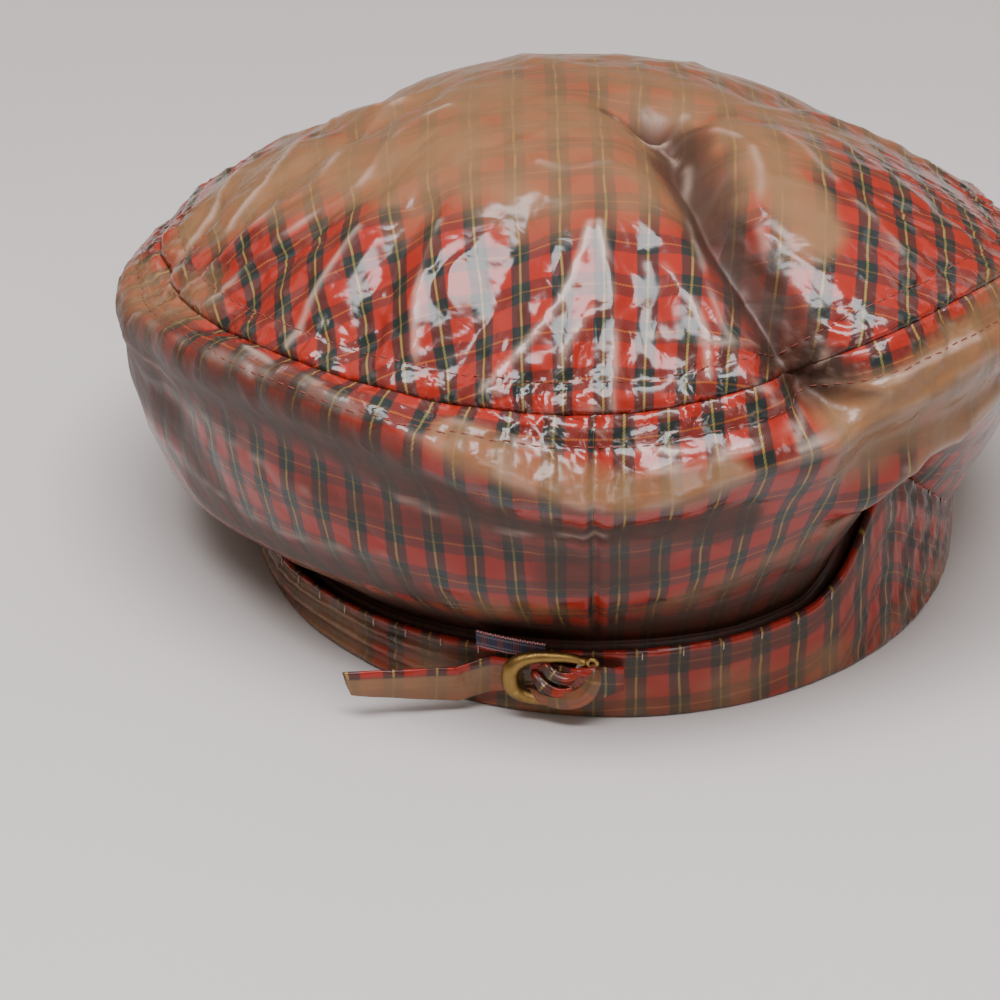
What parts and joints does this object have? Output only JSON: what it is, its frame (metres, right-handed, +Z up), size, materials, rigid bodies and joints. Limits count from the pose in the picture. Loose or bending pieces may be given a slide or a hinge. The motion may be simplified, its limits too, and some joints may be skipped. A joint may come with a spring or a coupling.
{
  "type": "rain cap",
  "caption": "Puffed cap of tartan cloth under clear film: domed top panel, gathered side panel, head band and a buckled strap at the back.",
  "frame": {"origin": "middle of the plan box of the whole cap, on the surface that the rim rests on", "axes": "+Z up, +Y to the front of the cap, -Y to the back with the buckle, +X to the wearer's right"},
  "size_m": [0.2228, 0.2408, 0.1219],
  "materials": {
    "tartan_film": "red and green tartan cloth under clear glossy film",
    "brass": "aged, rubbed bright on the edges"
  },
  "bodies": {
    "root": {"crown_top": "tartan_film", "crown_side": "tartan_film", "head_band": "tartan_film", "strap_tail": "tartan_film", "ring_tab": "tartan_film", "ring_buckle": "brass"}
  },
  "joints": []
}
